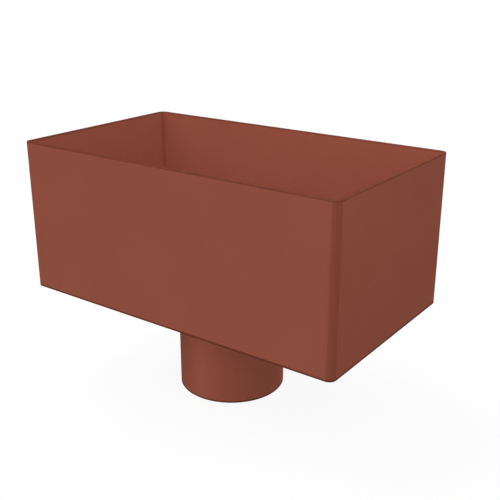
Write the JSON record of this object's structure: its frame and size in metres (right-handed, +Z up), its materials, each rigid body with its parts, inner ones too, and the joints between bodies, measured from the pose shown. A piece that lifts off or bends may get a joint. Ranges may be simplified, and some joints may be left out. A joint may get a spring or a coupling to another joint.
{
  "type": "downpipe hopper head",
  "caption": "Open-topped rectangular rainwater hopper head of folded and welded coated sheet, with a flat base and a round outlet spigot that enters a downpipe.",
  "frame": {"origin": "centre of the outlet spigot's lower end, which is also the middle of the box in plan", "axes": "+Z up along the outlet's axis, +Y towards the building wall behind the flat back, +X to the right when facing the front"},
  "size_m": [0.35, 0.2, 0.245],
  "materials": {
    "coating": "satin"
  },
  "bodies": {
    "root": {"wall_band": "coating", "base_plate": "coating", "outlet_spigot": "coating"}
  },
  "joints": []
}
